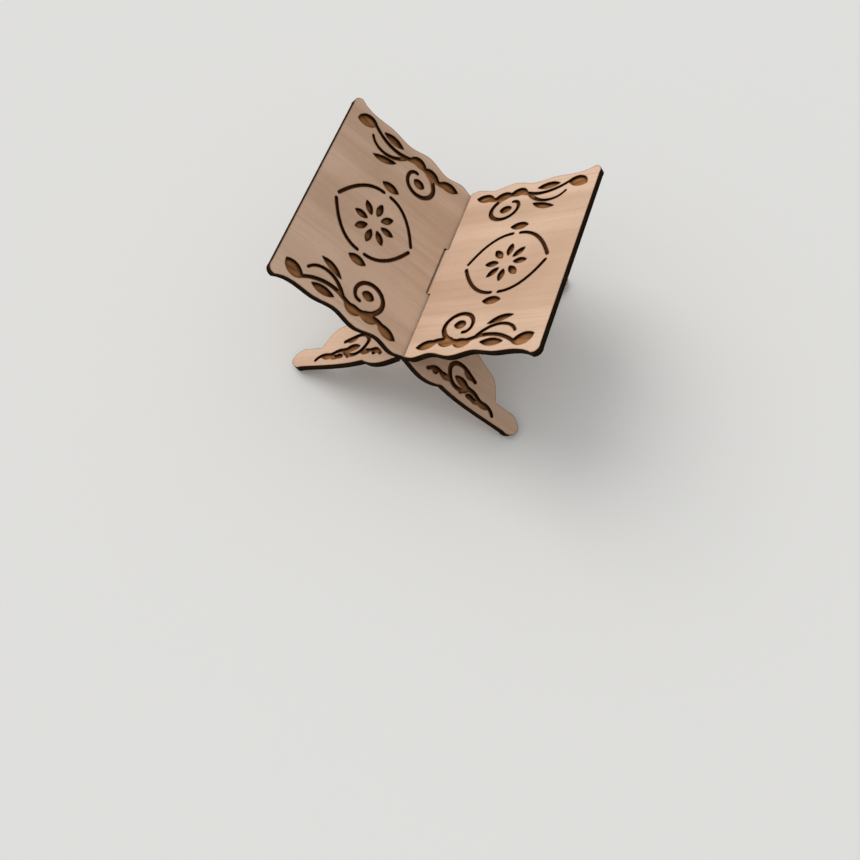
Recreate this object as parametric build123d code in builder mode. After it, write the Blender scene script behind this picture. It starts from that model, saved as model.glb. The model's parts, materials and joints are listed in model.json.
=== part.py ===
"""Open book stand made of two laser-cut boards that cross in an X.

Each board is a base sheet with a thinner fretwork sheet glued on its upper face.  One board has a slot
that opens into its leg arch, the other has two side notches that leave a middle neck.  The boards slide
into each other, turn about the line where they cross, and jam at a fixed opening angle.

Frame: +X to the right wing, +Y to the back, +Z up.  The origin is on the floor, midway between the feet.
Board coordinates: x runs from the crossing line out to the wing tip, so the legs are at negative x;
y runs across the board from its centre line; z is normal to it, with the fretwork on the +z side.
"""

import os
from math import cos, radians, sin, tan

from build123d import *

# Sheets and pose
BASE_THICKNESS = 5.0
FRET_THICKNESS = 3.0
BOARD_THICKNESS = BASE_THICKNESS + FRET_THICKNESS
SLOPE = 35.3  # degrees between each board and the floor when the stand is open
WING_LENGTH = 177.5  # crossing line to the outer edge of a wing
LEG_LENGTH = 170.0  # crossing line to the tip of a foot

# Crossing joint: a slot of this half width jams on the other board when the stand is fully open
JOINT_CLEARANCE = 0.15
SLOT_HALF_WIDTH = BOARD_THICKNESS / 2 / tan(radians(SLOPE)) + JOINT_CLEARANCE
NECK_HALF_WIDTH = 33.0
NECK_SIDE_CLEARANCE = 0.4
SLOT_REACH = 75.0  # how far down the legs the slot is cut, to run into the arch

# Outline of half a board, as (x, y)
WING_CORNER = [(WING_LENGTH, 117.5), (176.0, 125.0), (169.0, 127.8)]
WING_SIDE = [(158.0, 123.2), (141.0, 121.8), (120.0, 122.4), (94.0, 119.0), (67.0, 124.5), (37.0, 118.7)]
CROSSING_SIDE = [(14.5, 123.3), (1.0, 119.8), (-12.0, 122.5), (-30.0, 126.5), (-45.0, 125.0)]
SIDE_CUSP = (-55.5, 121.0)
LEG_SIDE = [(-75.0, 123.6), (-98.0, 124.6), (-122.0, 124.3)]
FOOT_ROUND = [(-152.0, 123.6), (-164.0, 121.4), (-LEG_LENGTH, 112.5), (-165.5, 103.0), (-152.0, 98.4)]
ARCH_CUSP = (-129.0, 98.2)
ARCH_SIDE = [(-124.0, 84.5), (-116.0, 72.5), (-101.0, 65.5), (-87.0, 58.6), (-67.0, 47.0), (-49.0, 28.0)]
ARCH_APEX = (-34.0, 0.0)

# Fretwork of one leg, as (distance down the leg, y); stems also have a width at each end
LEG_HOOK = [
    (94, 92), (79, 85.5), (70, 83.8), (61, 87), (57.6, 94),
    (60, 102), (66, 109.6), (74, 112.4), (89, 105.5),
]
LEG_HOOK_WIDTHS = (5.2, 5.4)
LEG_HOOK_BUD = [(76, 87.5), (81, 93.4), (90.5, 92.8), (83, 88)]
LEG_STUB = [(79.5, 117), (80, 109), (88, 106), (85, 112.6)]
LEG_STEM = [
    (84, 103), (92, 104.6), (98, 105), (104, 107.6),
    (110, 110), (116.5, 109.6), (123, 110.5), (130, 116),
]
LEG_STEM_WIDTHS = (5.8, 4.8)
LEG_ALMOND = [(67, 100.3), (77, 96.7), (89, 103), (76, 107.1)]
LEG_BUD_EYE = [(87.8, 114.3), (93.5, 109), (101, 112.4), (94.5, 116.2)]
LEG_BUD = [(93, 114.5), (100, 110.4), (109, 114.2), (101, 117)]
LEG_BUD_HEEL = [(103, 112), (112, 108), (122, 112.3), (112, 116.2)]
LEG_TWIG = [(60, 106.5), (52.5, 108.4), (46.3, 106.9), (40.5, 106.6), (35.5, 109.6), (31.5, 113)]
LEG_TWIG_WIDTHS = (5.4, 4.2)
LEG_TWIG_HEEL = [(46, 107.5), (55, 104.8), (64, 109), (54, 112.9)]
LEG_TWIG_LEAF = [(37.5, 110.5), (42.5, 114.2), (45, 109), (40, 107)]

# Fretwork of one side of a wing, as (x, y)
WING_STEM = [(38, 105), (50, 102.5), (66, 105), (82, 105.5), (98, 101), (114, 100), (130, 104), (142, 110.5)]
WING_STEM_WIDTHS = (6.5, 4.0)
WING_HOOK = [(62, 103), (51, 95), (47, 83), (54, 72), (68, 68.5), (81, 76), (83, 88), (74, 94)]
WING_HOOK_WIDTHS = (6.0, 4.0)
WING_TENDRIL = [(94, 101), (104, 92), (118, 87), (132, 89), (141, 97)]
WING_TENDRIL_WIDTHS = (4.8, 3.2)
WING_ALMOND = [(59, 83), (65, 77.5), (75, 84), (65.5, 88.5)]
WING_NEAR_LEAF = [(17.5, 110), (30, 101.5), (45, 104), (28, 114)]
WING_LOBE = [(45, 104), (56, 101), (66.5, 109), (57, 112)]
WING_FAR_LOBE = [(65, 105), (77, 102), (89, 107), (76, 114.5)]
WING_OUTER_LEAF = [(101, 109), (114, 105), (131, 110.5), (114, 115)]
WING_CORNER_LEAF = [(141, 112), (150, 102), (166, 103), (156, 116.5)]
WING_INNER_LEAF = [(102, 86), (114, 76), (133, 76), (118, 83.5)]

# Rosette and its pointed frame on the centre line of a wing
ROSETTE_CENTRE = 96.0
PETAL_COUNT = 8
PETAL_INNER = 9.0
PETAL_OUTER = 27.0
PETAL_HALF_WIDTH = 4.2
FRAME_WIDTHS = (4.0, 4.0)
FRAME_OUTER_ARC = [(101, 42), (119, 37), (134, 24), (147, 4)]
FRAME_INNER_ARC = [(91, 42), (73, 37), (58, 24), (45, 4)]
FRAME_LEAF = [(84, 53), (96, 47.5), (108, 53), (96, 58.5)]

STEM_STEPS = 12  # stations along a tapering stem where its width is set

slope_cos = cos(radians(SLOPE))
slope_sin = sin(radians(SLOPE))
crossing_height = LEG_LENGTH * slope_sin + BOARD_THICKNESS / 2 * slope_cos
base_bottom = -BOARD_THICKNESS / 2
fret_bottom = base_bottom + BASE_THICKNESS


def tapering_stem(route, start_width, end_width):
    """Outline of a stem with round ends that follows a smooth route and changes width along it."""
    middle = Spline(*route, mode=Mode.PRIVATE)
    left = []
    right = []
    for step in range(STEM_STEPS + 1):
        along = step / STEM_STEPS
        half_width = (start_width + (end_width - start_width) * along) / 2
        sideways = (middle % along).rotate(Axis.Z, 90) * half_width
        left.append(middle @ along + sideways)
        right.append(middle @ along - sideways)
    with BuildSketch() as stem:
        with BuildLine():
            Spline(*left)
            ThreePointArc(left[-1], middle @ 1 + middle % 1 * (end_width / 2), right[-1])
            Spline(*reversed(right))
            ThreePointArc(right[0], middle @ 0 - middle % 0 * (start_width / 2), left[0])
        make_face()
    return stem.sketch


def leaf(tip, belly, end, other_belly):
    """Pointed leaf between two tips, with one arc through each belly point."""
    with BuildSketch() as shape:
        with BuildLine():
            ThreePointArc(tip, belly, end)
            ThreePointArc(end, other_belly, tip)
        make_face()
    return shape.sketch


def both_sides(shapes):
    """One sketch of the shapes and their mirror images across the board's centre line."""
    with BuildSketch() as pair:
        for shape in shapes:
            add(shape)
        mirror(about=Plane.XZ)
    return pair.sketch


def leg_fretwork():
    """Openings of both legs, drawn for the leg on the +y side and mirrored."""
    down_the_leg = [
        tapering_stem([(-x, y) for x, y in LEG_HOOK], *LEG_HOOK_WIDTHS),
        tapering_stem([(-x, y) for x, y in LEG_STEM], *LEG_STEM_WIDTHS),
        tapering_stem([(-x, y) for x, y in LEG_TWIG], *LEG_TWIG_WIDTHS),
        leaf(*[(-x, y) for x, y in LEG_HOOK_BUD]),
        leaf(*[(-x, y) for x, y in LEG_STUB]),
        leaf(*[(-x, y) for x, y in LEG_ALMOND]),
        leaf(*[(-x, y) for x, y in LEG_BUD_EYE]),
        leaf(*[(-x, y) for x, y in LEG_BUD]),
        leaf(*[(-x, y) for x, y in LEG_BUD_HEEL]),
        leaf(*[(-x, y) for x, y in LEG_TWIG_HEEL]),
        leaf(*[(-x, y) for x, y in LEG_TWIG_LEAF]),
    ]
    return both_sides(down_the_leg)


def wing_fretwork():
    """Openings of both sides of a wing, with the two halves of the frame round the rosette."""
    up_the_wing = [
        tapering_stem(WING_STEM, *WING_STEM_WIDTHS),
        tapering_stem(WING_HOOK, *WING_HOOK_WIDTHS),
        tapering_stem(WING_TENDRIL, *WING_TENDRIL_WIDTHS),
        tapering_stem(FRAME_OUTER_ARC, *FRAME_WIDTHS),
        tapering_stem(FRAME_INNER_ARC, *FRAME_WIDTHS),
        leaf(*WING_ALMOND),
        leaf(*WING_NEAR_LEAF),
        leaf(*WING_LOBE),
        leaf(*WING_FAR_LOBE),
        leaf(*WING_OUTER_LEAF),
        leaf(*WING_CORNER_LEAF),
        leaf(*WING_INNER_LEAF),
        leaf(*FRAME_LEAF),
    ]
    return both_sides(up_the_wing)


def rosette():
    """Ring of equal petals on the centre line of a wing."""
    belly = (PETAL_INNER + PETAL_OUTER) / 2
    petal = leaf((PETAL_INNER, 0), (belly, PETAL_HALF_WIDTH), (PETAL_OUTER, 0), (belly, -PETAL_HALF_WIDTH))
    with BuildSketch() as ring:
        with Locations((ROSETTE_CENTRE, 0)):
            with PolarLocations(0, PETAL_COUNT):
                add(petal)
    return ring.sketch


def board_outline():
    """Whole board seen square on: wing with a wavy side, waist at the crossing, and two arched legs."""
    with BuildSketch() as outline:
        with BuildLine():
            Line((WING_LENGTH, 0), WING_CORNER[0])
            ThreePointArc(*WING_CORNER)
            Spline(WING_CORNER[-1], *WING_SIDE, *CROSSING_SIDE, SIDE_CUSP)
            Spline(SIDE_CUSP, *LEG_SIDE, FOOT_ROUND[0])
            Spline(*FOOT_ROUND)
            Line(FOOT_ROUND[-1], ARCH_CUSP)
            Spline(ARCH_CUSP, *ARCH_SIDE, ARCH_APEX)
            Line(ARCH_APEX, (WING_LENGTH, 0))
        make_face()
        mirror(about=Plane.XZ)
    return outline.sketch


def slot_cut():
    """Slot between the legs that takes the other board's neck."""
    with BuildSketch() as cut:
        with Locations((SLOT_HALF_WIDTH, 0)):
            Rectangle(
                SLOT_HALF_WIDTH + SLOT_REACH,
                2 * (NECK_HALF_WIDTH + NECK_SIDE_CLEARANCE),
                align=(Align.MAX, Align.CENTER),
            )
    return cut.sketch


def notch_cut():
    """Two side notches that leave the middle neck."""
    notch_depth = WING_CORNER[-1][1] - NECK_HALF_WIDTH
    with BuildSketch() as cut:
        with Locations((0, NECK_HALF_WIDTH), (0, -NECK_HALF_WIDTH - notch_depth)):
            Rectangle(2 * SLOT_HALF_WIDTH, notch_depth, align=(Align.CENTER, Align.MIN))
    return cut.sketch


outline = board_outline()
openings = [leg_fretwork(), wing_fretwork(), rosette()]
slot = slot_cut()
notches = notch_cut()

# Board planes: x up the wing, z out of the face that carries the book
right_wing_plane = Plane(
    origin=(0, 0, crossing_height),
    x_dir=(slope_cos, 0, slope_sin),
    z_dir=(-slope_sin, 0, slope_cos),
)
left_wing_plane = Plane(
    origin=(0, 0, crossing_height),
    x_dir=(-slope_cos, 0, slope_sin),
    z_dir=(slope_sin, 0, slope_cos),
)

os.makedirs("parts", exist_ok=True)

# Slotted board: left wing and right legs
with BuildPart() as slotted_base:
    with BuildSketch(left_wing_plane.offset(base_bottom)):
        add(outline)
        add(slot, mode=Mode.SUBTRACT)
    extrude(amount=BASE_THICKNESS)
slotted_base.part.label = "slotted_board_base"
export_step(slotted_base.part, "parts/slotted_board_base.step")

with BuildPart() as slotted_fret:
    with BuildSketch(left_wing_plane.offset(fret_bottom)):
        add(outline)
        add(slot, mode=Mode.SUBTRACT)
        add(openings, mode=Mode.SUBTRACT)
    extrude(amount=FRET_THICKNESS)
slotted_fret.part.label = "slotted_board_fretwork"
export_step(slotted_fret.part, "parts/slotted_board_fretwork.step")

# Notched board: right wing and left legs
with BuildPart() as notched_base:
    with BuildSketch(right_wing_plane.offset(base_bottom)):
        add(outline)
        add(notches, mode=Mode.SUBTRACT)
    extrude(amount=BASE_THICKNESS)
notched_base.part.label = "notched_board_base"
export_step(notched_base.part, "parts/notched_board_base.step")

with BuildPart() as notched_fret:
    with BuildSketch(right_wing_plane.offset(fret_bottom)):
        add(outline)
        add(notches, mode=Mode.SUBTRACT)
        add(openings, mode=Mode.SUBTRACT)
    extrude(amount=FRET_THICKNESS)
notched_fret.part.label = "notched_board_fretwork"
export_step(notched_fret.part, "parts/notched_board_fretwork.step")
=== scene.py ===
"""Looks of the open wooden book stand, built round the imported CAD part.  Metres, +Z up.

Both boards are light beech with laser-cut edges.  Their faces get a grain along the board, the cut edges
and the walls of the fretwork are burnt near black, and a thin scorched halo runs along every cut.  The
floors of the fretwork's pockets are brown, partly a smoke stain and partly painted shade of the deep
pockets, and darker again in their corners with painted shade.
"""

import json
from math import cos, pi, radians, sin

import bpy
from mathutils import Matrix, Vector

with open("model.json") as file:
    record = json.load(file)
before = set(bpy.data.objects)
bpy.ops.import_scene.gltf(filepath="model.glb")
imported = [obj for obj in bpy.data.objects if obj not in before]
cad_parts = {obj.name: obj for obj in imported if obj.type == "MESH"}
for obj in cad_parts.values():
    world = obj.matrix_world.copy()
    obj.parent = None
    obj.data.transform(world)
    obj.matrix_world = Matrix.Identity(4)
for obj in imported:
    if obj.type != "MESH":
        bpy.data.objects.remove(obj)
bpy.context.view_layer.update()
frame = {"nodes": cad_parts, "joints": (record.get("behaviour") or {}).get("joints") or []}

# Boards: slope of both boards, the line where they cross, and the seam between their sheets
SLOPE = radians(35.3)
SEAM_HEIGHT = 0.001  # glue line between the sheets, above the board's mid plane
SEAM_HALF_WIDTH = 0.0003
CROSSING = Vector(frame["joints"][0]["pos_m"])

# Colours of the faces, linear
BEECH_LIGHT = (0.56, 0.385, 0.278)
BEECH_MID = (0.47, 0.312, 0.215)
BEECH_DARK = (0.35, 0.213, 0.128)
FLECK = (0.31, 0.165, 0.085)
HALO = (0.150, 0.056, 0.017)

# Colours of the pockets' floors: brown of a smoke stain, made darker as painted shade of the deep pockets,
# and painted shade in their corners
POCKET_STAIN_AND_SHADE_LIGHT = (0.315, 0.138, 0.050)
POCKET_STAIN_AND_SHADE_DARK = (0.130, 0.050, 0.016)
POCKET_PAINTED_SHADE = (0.046, 0.0170, 0.0060)

# Colours of the burnt cut walls and of the glue line that shows in them
CHAR = (0.0100, 0.0058, 0.0026)
CHAR_BROWN = (0.030, 0.0150, 0.0060)
GLUE_LINE = (0.034, 0.020, 0.010)

# Reach of the scorching on a face beside a cut, and of the painted shade on the floor beside a fretwork
# wall
HALO_REACH = 0.0022
PAINTED_SHADE_REACH = 0.0060

# Cosine of the lean from the board's own normal: a cut wall below the first value, a face above the second
WALL_BELOW = 0.55
FACE_ABOVE = 0.75

# Finish of the wood
WALL_ROUGHNESS = 0.85
FACE_ROUGHNESS = 0.55
BUMP_STRENGTH = 0.35
BUMP_DEPTH = 0.0002

# Room: the pale floor, and a surround that is brightest towards one side
FLOOR_RADIUS = 40.0
FLOOR_COLOUR = (0.62, 0.61, 0.59)
SURROUND_COLOUR = (0.96, 0.98, 1.0, 1.0)
BRIGHT_SIDE = (-0.60, 0.10, 0.79)
BRIGHT_STRENGTH = 1.25
DIM_STRENGTH = 0.24
DIM_BELOW = -0.3  # cosine of the angle to the bright side where the surround is dimmest

# Camera
CAMERA_AT = (0.181358, -0.647048, 1.021185)
CAMERA_RIGHT = (0.94502, 0.32529, 0.03341)
CAMERA_DOWN = (0.30424, -0.83719, -0.45448)
CAMERA_FORWARD = (-0.11987, 0.43966, -0.89013)
LENS = 40.995
SENSOR = 36.0


class Tree:
    """Small helper that adds nodes to a material and wires them by name."""

    def __init__(self, name):
        self.material = bpy.data.materials.new(name)
        self.material.use_nodes = True
        self.nodes = self.material.node_tree.nodes
        self.links = self.material.node_tree.links
        self.nodes.clear()
        self.shader = self.add("ShaderNodeBsdfPrincipled")
        output = self.add("ShaderNodeOutputMaterial")
        self.links.new(self.shader.outputs["BSDF"], output.inputs["Surface"])

    def add(self, kind, **settings):
        node = self.nodes.new(kind)
        for key, value in settings.items():
            setattr(node, key, value)
        return node

    def put(self, socket, value):
        """Links a socket to another node's output, or sets it to a plain value."""
        if isinstance(value, bpy.types.NodeSocket):
            self.links.new(value, socket)
        elif isinstance(value, (tuple, list)) and len(value) == 3 and socket.type == "RGBA":
            socket.default_value = (*value, 1.0)
        else:
            socket.default_value = value

    def math(self, operation, a, b=0.0, clamp=False):
        node = self.add("ShaderNodeMath", operation=operation, use_clamp=clamp)
        self.put(node.inputs[0], a)
        self.put(node.inputs[1], b)
        return node.outputs[0]

    def ramp(self, value, low, high, to_low=0.0, to_high=1.0):
        """Smooth step of a value between two limits."""
        node = self.add("ShaderNodeMapRange", interpolation_type="SMOOTHSTEP", clamp=True)
        self.put(node.inputs["Value"], value)
        self.put(node.inputs["From Min"], low)
        self.put(node.inputs["From Max"], high)
        self.put(node.inputs["To Min"], to_low)
        self.put(node.inputs["To Max"], to_high)
        return node.outputs["Result"]

    def mix(self, factor, a, b):
        node = self.add("ShaderNodeMix", data_type="RGBA")
        self.put(node.inputs["Factor"], factor)
        self.put(node.inputs[6], a)
        self.put(node.inputs[7], b)
        return node.outputs[2]

    def noise(self, vector, scale=1.0, detail=3.0, roughness=0.6, distortion=0.0):
        node = self.add("ShaderNodeTexNoise", noise_dimensions="3D")
        self.put(node.inputs["Vector"], vector)
        self.put(node.inputs["Scale"], scale)
        self.put(node.inputs["Detail"], detail)
        self.put(node.inputs["Roughness"], roughness)
        self.put(node.inputs["Distortion"], distortion)
        return node.outputs["Fac"]

    def stretch(self, vector, scale, offset=(0.0, 0.0, 0.0)):
        """The vector scaled on each axis, for a pattern that is drawn out along the grain."""
        node = self.add("ShaderNodeMapping", vector_type="POINT")
        self.put(node.inputs["Vector"], vector)
        self.put(node.inputs["Scale"], scale)
        self.put(node.inputs["Location"], offset)
        return node.outputs["Vector"]


def board_coordinates(tree, turned):
    """Position in the board's own axes, then its height and the normal's over the board's mid plane.

    The board's x runs up the wing and its z out of the face that carries the book.
    """
    tilt = (0.0, -SLOPE, pi if turned else 0.0)
    place = tree.add("ShaderNodeTexCoord")
    position = tree.add("ShaderNodeMapping", vector_type="TEXTURE")
    tree.put(position.inputs["Vector"], place.outputs["Object"])
    tree.put(position.inputs["Location"], tuple(CROSSING))
    tree.put(position.inputs["Rotation"], tilt)
    normal = tree.add("ShaderNodeMapping", vector_type="TEXTURE")
    tree.put(normal.inputs["Vector"], place.outputs["Normal"])
    tree.put(normal.inputs["Rotation"], tilt)
    normal_parts = tree.add("ShaderNodeSeparateXYZ")
    tree.put(normal_parts.inputs[0], normal.outputs["Vector"])
    position_parts = tree.add("ShaderNodeSeparateXYZ")
    tree.put(position_parts.inputs[0], position.outputs["Vector"])
    return position.outputs["Vector"], position_parts.outputs["Z"], normal_parts.outputs["Z"]


def beech(tree, position, seed):
    """Light beech: soft growth bands, fine streaks and the short dark flecks of the wood's rays."""
    along_bands = tree.stretch(position, (2.2, 26.0, 26.0), seed)
    along_streaks = tree.stretch(position, (9.0, 420.0, 420.0), seed)
    along_flecks = tree.stretch(position, (210.0, 1700.0, 1700.0), seed)
    bands = tree.noise(along_bands, detail=2.0, roughness=0.5, distortion=0.6)
    streaks = tree.noise(along_streaks, detail=4.0)
    flecks = tree.noise(along_flecks, detail=2.0)
    cloud = tree.noise(position, scale=11.0, detail=2.0, roughness=0.5)
    colour = tree.mix(tree.ramp(bands, 0.34, 0.68), BEECH_LIGHT, BEECH_MID)
    colour = tree.mix(tree.math("MULTIPLY", tree.ramp(streaks, 0.50, 0.74), 0.40), colour, BEECH_DARK)
    colour = tree.mix(tree.math("MULTIPLY", tree.ramp(flecks, 0.60, 0.72), 0.40), colour, FLECK)
    colour = tree.mix(tree.math("MULTIPLY", tree.ramp(cloud, 0.45, 0.75), 0.20), colour, BEECH_DARK)
    height = tree.math("ADD", tree.math("MULTIPLY", streaks, 0.5), tree.math("MULTIPLY", flecks, -0.5))
    return colour, height


def burnt_edge(tree, position, depth):
    """Burnt cut wall: near black, with the cutting beam's fine lines across it and a groove at the seam."""
    beam = tree.noise(tree.stretch(position, (900.0, 900.0, 60.0)))
    patches = tree.noise(position, scale=90.0)
    brown = tree.math("MULTIPLY", tree.ramp(patches, 0.40, 0.72), tree.ramp(beam, 0.35, 0.70))
    from_seam = tree.math("ABSOLUTE", tree.math("SUBTRACT", depth, SEAM_HEIGHT))
    seam = tree.ramp(from_seam, SEAM_HALF_WIDTH / 3, SEAM_HALF_WIDTH, 1.0, 0.0)
    colour = tree.mix(brown, CHAR, CHAR_BROWN)
    colour = tree.mix(tree.math("MULTIPLY", seam, 0.8), colour, GLUE_LINE)
    height = tree.math("SUBTRACT", tree.math("MULTIPLY", beam, 0.6), seam)
    return colour, height


def near_edge(tree, reach, inside):
    """0 well away from an edge and 1 at it: on convex edges if inside, else in concave corners."""
    node = tree.add("ShaderNodeAmbientOcclusion", samples=12, inside=inside, only_local=inside)
    tree.put(node.inputs["Distance"], reach)
    return tree.math("SUBTRACT", 1.0, node.outputs["AO"], clamp=True)


def finish_surface(tree, colour, roughness, height):
    """Wires colour, roughness and a fine bump into the shader."""
    tree.put(tree.shader.inputs["Base Color"], colour)
    tree.put(tree.shader.inputs["Roughness"], roughness)
    tree.put(tree.shader.inputs["Specular IOR Level"], 0.02)
    bump = tree.add("ShaderNodeBump")
    tree.put(bump.inputs["Strength"], BUMP_STRENGTH)
    tree.put(bump.inputs["Distance"], BUMP_DEPTH)
    tree.put(bump.inputs["Height"], height)
    tree.put(tree.shader.inputs["Normal"], bump.outputs["Normal"])


def sheet_material(name, turned, seed, stained_and_shaded):
    """One sheet of a board.  A base sheet shows its brown upper face only in the fretwork's openings; that
    brown is partly a smoke stain and partly painted shade of the deep pockets, darker still with painted
    shade in the corners.
    """
    tree = Tree(name)
    position, depth, normal_z = board_coordinates(tree, turned)
    facing = tree.ramp(tree.math("ABSOLUTE", normal_z), WALL_BELOW, FACE_ABOVE)
    wood, grain = beech(tree, position, seed)
    char, cut = burnt_edge(tree, position, depth)

    halo = tree.ramp(near_edge(tree, HALO_REACH, True), 0.12, 0.50)
    ragged = tree.ramp(tree.noise(position, scale=260.0), 0.25, 0.8, to_low=0.45)
    halo = tree.math("MULTIPLY", halo, ragged)
    face = tree.mix(halo, wood, HALO)
    if stained_and_shaded:
        stain = tree.noise(tree.stretch(position, (30.0, 160.0, 160.0), seed), detail=4.0)
        # Brown of the floors in the openings: partly a smoke stain, and partly painted shade of the deep
        # pockets
        pocket_stain_and_shade = tree.mix(tree.ramp(stain, 0.3, 0.72), POCKET_STAIN_AND_SHADE_LIGHT, POCKET_STAIN_AND_SHADE_DARK)
        # Painted shade: the floor of each opening is darkened beside the fretwork's walls, where they shade
        # it
        painted_corner_shade = tree.ramp(near_edge(tree, PAINTED_SHADE_REACH, False), 0.13, 0.36)
        pocket_stain_and_shade = tree.mix(painted_corner_shade, pocket_stain_and_shade, POCKET_PAINTED_SHADE)
        upper = tree.ramp(normal_z, WALL_BELOW, FACE_ABOVE)
        face = tree.mix(upper, face, pocket_stain_and_shade)

    colour = tree.mix(facing, char, face)
    height = tree.math("MULTIPLY", facing, grain)
    height = tree.math("ADD", height, tree.math("MULTIPLY", tree.math("SUBTRACT", 1.0, facing), cut))
    roughness = tree.ramp(facing, 0.0, 1.0, WALL_ROUGHNESS, FACE_ROUGHNESS)
    finish_surface(tree, colour, roughness, height)
    return tree.material


def dress_boards():
    """Gives each packed sheet its own material, so the grain runs along each board.

    Each look is the material's name, whether the board is turned, the pattern's offset, and whether the
    upper face gets the brown of the pockets' floors, partly a smoke stain and partly painted shade.
    """
    looks = {
        "slotted_board_base": ("beech_base_left", True, (0.0, 3.1, 0.0), True),
        "slotted_board_fretwork": ("beech_fretwork_left", True, (1.7, 0.0, 5.0), False),
        "notched_board_base": ("beech_base_right", False, (4.2, 1.3, 0.0), True),
        "notched_board_fretwork": ("beech_fretwork_right", False, (6.1, 2.4, 9.0), False),
    }
    for node_name, look in looks.items():
        node = frame["nodes"][node_name]
        material = sheet_material(*look)
        for slot in node.material_slots:
            slot.material = material


def floor_piece():
    """Plain pale floor, a wide disc that the feet stand on."""
    mesh = bpy.data.meshes.new("floor")
    steps = 96
    angles = [2 * pi * step / steps for step in range(steps)]
    ring = [(FLOOR_RADIUS * cos(angle), FLOOR_RADIUS * sin(angle), 0.0) for angle in angles]
    mesh.from_pydata(ring, [], [tuple(range(steps))])
    piece = bpy.data.objects.new("floor", mesh)
    bpy.context.scene.collection.objects.link(piece)
    tree = Tree("pale_floor")
    tree.put(tree.shader.inputs["Base Color"], FLOOR_COLOUR)
    tree.put(tree.shader.inputs["Roughness"], 0.85)
    tree.put(tree.shader.inputs["Specular IOR Level"], 0.2)
    mesh.materials.append(tree.material)


def soft_sun(name, source, spread, strength, colour):
    """Far, wide light that shines from the source direction; spread is its angular size in degrees."""
    data = bpy.data.lights.new(name, "SUN")
    data.angle = radians(spread)
    data.energy = strength
    data.color = colour
    lamp = bpy.data.objects.new(name, data)
    lamp.location = source
    lamp.rotation_euler = (-Vector(source)).to_track_quat("-Z", "Y").to_euler()
    bpy.context.scene.collection.objects.link(lamp)


def surround():
    """Pale surround that is brightest towards the upper left and dim towards the lower right."""
    world = bpy.data.worlds.new("surround")
    world.use_nodes = True
    nodes = world.node_tree.nodes
    links = world.node_tree.links
    background = nodes["Background"]
    background.inputs["Color"].default_value = SURROUND_COLOUR
    place = nodes.new("ShaderNodeTexCoord")
    towards = nodes.new("ShaderNodeVectorMath")
    towards.operation = "DOT_PRODUCT"
    towards.inputs[1].default_value = BRIGHT_SIDE
    strength = nodes.new("ShaderNodeMapRange")
    strength.inputs["From Min"].default_value = DIM_BELOW
    strength.inputs["From Max"].default_value = 1.0
    strength.inputs["To Min"].default_value = DIM_STRENGTH
    strength.inputs["To Max"].default_value = BRIGHT_STRENGTH
    links.new(place.outputs["Generated"], towards.inputs[0])
    links.new(towards.outputs["Value"], strength.inputs["Value"])
    links.new(strength.outputs["Result"], background.inputs["Strength"])
    bpy.context.scene.world = world


def studio():
    """Soft light from the upper left and back, a faint fill from the front, and the pale surround."""
    soft_sun("key", source=(-1.5, 0.5, 1.9), spread=40.0, strength=1.30, colour=(1.0, 0.985, 0.965))
    soft_sun("fill", source=(1.2, -1.6, 1.2), spread=90.0, strength=0.10, colour=(0.98, 0.99, 1.0))
    surround()


def camera():
    """Camera over the near side of the stand, looking down on it from the right."""
    data = bpy.data.cameras.new("camera")
    data.sensor_width = SENSOR
    data.lens = LENS
    data.clip_start = 0.01
    data.clip_end = 50.0
    piece = bpy.data.objects.new("camera", data)
    right = Vector(CAMERA_RIGHT)
    up = -Vector(CAMERA_DOWN)
    back = -Vector(CAMERA_FORWARD)
    turn = Matrix((right, up, back)).transposed().to_4x4()
    piece.matrix_world = Matrix.Translation(CAMERA_AT) @ turn
    bpy.context.scene.collection.objects.link(piece)
    bpy.context.scene.camera = piece


dress_boards()
floor_piece()
studio()
camera()
bpy.context.scene.view_settings.view_transform = "Standard"
